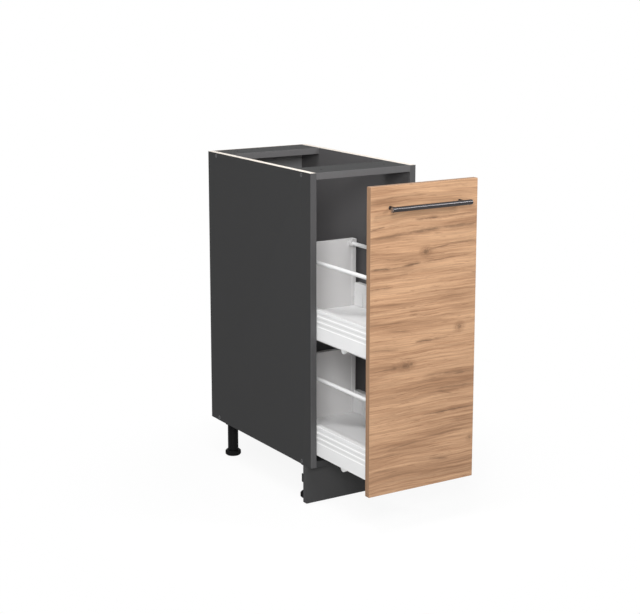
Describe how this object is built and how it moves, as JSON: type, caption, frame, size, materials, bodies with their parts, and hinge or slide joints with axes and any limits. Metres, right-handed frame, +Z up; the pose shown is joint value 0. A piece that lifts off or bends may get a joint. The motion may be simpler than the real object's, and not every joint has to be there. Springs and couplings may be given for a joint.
{
  "type": "pull-out pantry base cabinet",
  "caption": "Narrow dark grey kitchen base cabinet with an oak pull-out front, a bar handle and white steel drawers, drawn part-way open.",
  "frame": {"origin": "on the floor, under the middle of the unit's bounding box as drawn, with the front 230 mm open", "axes": "+Z up, -Y out of the front, towards the user, +Y towards the wall, +X to the right of someone who faces the front"},
  "size_m": [0.3, 0.792, 0.82],
  "materials": {
    "anthracite_board": "matt melamine on chipboard",
    "hardboard": "lacquered hardboard",
    "oak_board": "oak decor with a satin grain",
    "white_steel": "white powder coat",
    "white_board": "white melamine on chipboard",
    "white_plastic": "white moulded nylon",
    "dark_metal": "satin gunmetal",
    "zinc": "zinc plated",
    "beech": "plain beech dowel",
    "black_plastic": "moulded black plastic"
  },
  "bodies": {
    "carcass": {"side_panel_left": "anthracite_board", "side_panel_right": "anthracite_board", "bottom_panel": "anthracite_board", "front_top_rail": "anthracite_board", "rear_top_rail": "anthracite_board", "back_panel": "hardboard", "carcass_screws": "zinc", "carcass_dowels": "beech", "back_panel_nails": "zinc", "leg_plates": "black_plastic", "leg_tubes": "black_plastic", "leg_plate_screws": "zinc", "plinth_board": "anthracite_board", "plinth_clips": "black_plastic", "plinth_clip_screws": "zinc", "fixed_runner_lower_left": "white_steel", "fixed_runner_lower_right": "white_steel", "fixed_runner_upper_left": "white_steel", "fixed_runner_upper_right": "white_steel", "runner_hangers": "white_steel", "runner_screws": "zinc"},
    "pull_out": {"front_panel": "oak_board", "handle_bar": "dark_metal", "handle_posts": "dark_metal", "handle_screws": "zinc", "drawer_side_lower_left": "white_steel", "drawer_side_lower_right": "white_steel", "drawer_side_upper_left": "white_steel", "drawer_side_upper_right": "white_steel", "drawer_runners": "white_steel", "drawer_floor_lower": "white_board", "drawer_floor_upper": "white_board", "drawer_back_lower": "white_board", "drawer_back_upper": "white_board", "gallery_rail_lower_left": "white_steel", "gallery_rail_lower_right": "white_steel", "gallery_rail_upper_left": "white_steel", "gallery_rail_upper_right": "white_steel", "gallery_holders": "white_plastic", "front_brackets": "white_steel", "back_brackets": "white_steel", "bracket_screws": "zinc", "floor_screws": "zinc"},
    "middle_runners": {"middle_runner_lower_left": "white_steel", "middle_runner_lower_right": "white_steel", "middle_runner_upper_left": "white_steel", "middle_runner_upper_right": "white_steel", "middle_runner_caps": "white_plastic"},
    "fixed_rollers_lower": {"fixed_rollers_lower": "white_plastic"},
    "middle_rear_rollers_lower": {"middle_rear_rollers_lower": "white_plastic"},
    "middle_front_rollers_lower": {"middle_front_rollers_lower": "white_plastic"},
    "drawer_rollers_lower": {"drawer_rollers_lower": "white_plastic"},
    "fixed_rollers_upper": {"fixed_rollers_upper": "white_plastic"},
    "middle_rear_rollers_upper": {"middle_rear_rollers_upper": "white_plastic"},
    "middle_front_rollers_upper": {"middle_front_rollers_upper": "white_plastic"},
    "drawer_rollers_upper": {"drawer_rollers_upper": "white_plastic"},
    "foot_front_left": {"foot_front_left": "black_plastic"},
    "foot_front_right": {"foot_front_right": "black_plastic"},
    "foot_rear_left": {"foot_rear_left": "black_plastic"},
    "foot_rear_right": {"foot_rear_right": "black_plastic"}
  },
  "joints": [
    {"name": "pull_out_slide", "type": "slide", "parent": "carcass", "child": "pull_out", "axis": [0, -1, 0], "range_m": [-0.23, 0.22]},
    {"name": "middle_slide", "type": "slide", "parent": "carcass", "child": "middle_runners", "axis": [0, -1, 0], "range_m": [-0.115, 0.11]},
    {"name": "fixed_rollers_lower_turn", "type": "hinge", "parent": "carcass", "child": "fixed_rollers_lower", "pos_m": [0, -0.084, 0.126], "axis": [1, 0, 0], "range_deg": [-825, 789]},
    {"name": "middle_rear_rollers_lower_turn", "type": "hinge", "parent": "middle_runners", "child": "middle_rear_rollers_lower", "pos_m": [0, 0.189, 0.1456], "axis": [1, 0, 0], "range_deg": [-770, 805]},
    {"name": "middle_front_rollers_lower_turn", "type": "hinge", "parent": "middle_runners", "child": "middle_front_rollers_lower", "pos_m": [0, -0.215, 0.126], "axis": [1, 0, 0], "range_deg": [-734, 702]},
    {"name": "drawer_rollers_lower_turn", "type": "hinge", "parent": "pull_out", "child": "drawer_rollers_lower", "pos_m": [0, 0.07, 0.1468], "axis": [1, 0, 0], "range_deg": [-805, 770]},
    {"name": "fixed_rollers_upper_turn", "type": "hinge", "parent": "carcass", "child": "fixed_rollers_upper", "pos_m": [0, -0.084, 0.414], "axis": [1, 0, 0], "range_deg": [-825, 789]},
    {"name": "middle_rear_rollers_upper_turn", "type": "hinge", "parent": "middle_runners", "child": "middle_rear_rollers_upper", "pos_m": [0, 0.189, 0.4336], "axis": [1, 0, 0], "range_deg": [-770, 805]},
    {"name": "middle_front_rollers_upper_turn", "type": "hinge", "parent": "middle_runners", "child": "middle_front_rollers_upper", "pos_m": [0, -0.215, 0.414], "axis": [1, 0, 0], "range_deg": [-734, 702]},
    {"name": "drawer_rollers_upper_turn", "type": "hinge", "parent": "pull_out", "child": "drawer_rollers_upper", "pos_m": [0, 0.07, 0.4348], "axis": [1, 0, 0], "range_deg": [-805, 770]},
    {"name": "foot_front_left_height", "type": "slide", "parent": "carcass", "child": "foot_front_left", "axis": [0, 0, -1], "range_m": [0, 0.02]},
    {"name": "foot_front_right_height", "type": "slide", "parent": "carcass", "child": "foot_front_right", "axis": [0, 0, -1], "range_m": [0, 0.02]},
    {"name": "foot_rear_left_height", "type": "slide", "parent": "carcass", "child": "foot_rear_left", "axis": [0, 0, -1], "range_m": [0, 0.02]},
    {"name": "foot_rear_right_height", "type": "slide", "parent": "carcass", "child": "foot_rear_right", "axis": [0, 0, -1], "range_m": [0, 0.02]}
  ],
  "couplings": [
    {"joint": "middle_slide", "follows": "pull_out_slide", "ratio": 0.5},
    {"joint": "fixed_rollers_lower_turn", "follows": "pull_out_slide", "rad_per_m": 62.5},
    {"joint": "middle_rear_rollers_lower_turn", "follows": "pull_out_slide", "rad_per_m": -60.976},
    {"joint": "middle_front_rollers_lower_turn", "follows": "pull_out_slide", "rad_per_m": 55.556},
    {"joint": "drawer_rollers_lower_turn", "follows": "pull_out_slide", "rad_per_m": 60.976},
    {"joint": "fixed_rollers_upper_turn", "follows": "pull_out_slide", "rad_per_m": 62.5},
    {"joint": "middle_rear_rollers_upper_turn", "follows": "pull_out_slide", "rad_per_m": -60.976},
    {"joint": "middle_front_rollers_upper_turn", "follows": "pull_out_slide", "rad_per_m": 55.556},
    {"joint": "drawer_rollers_upper_turn", "follows": "pull_out_slide", "rad_per_m": 60.976}
  ]
}
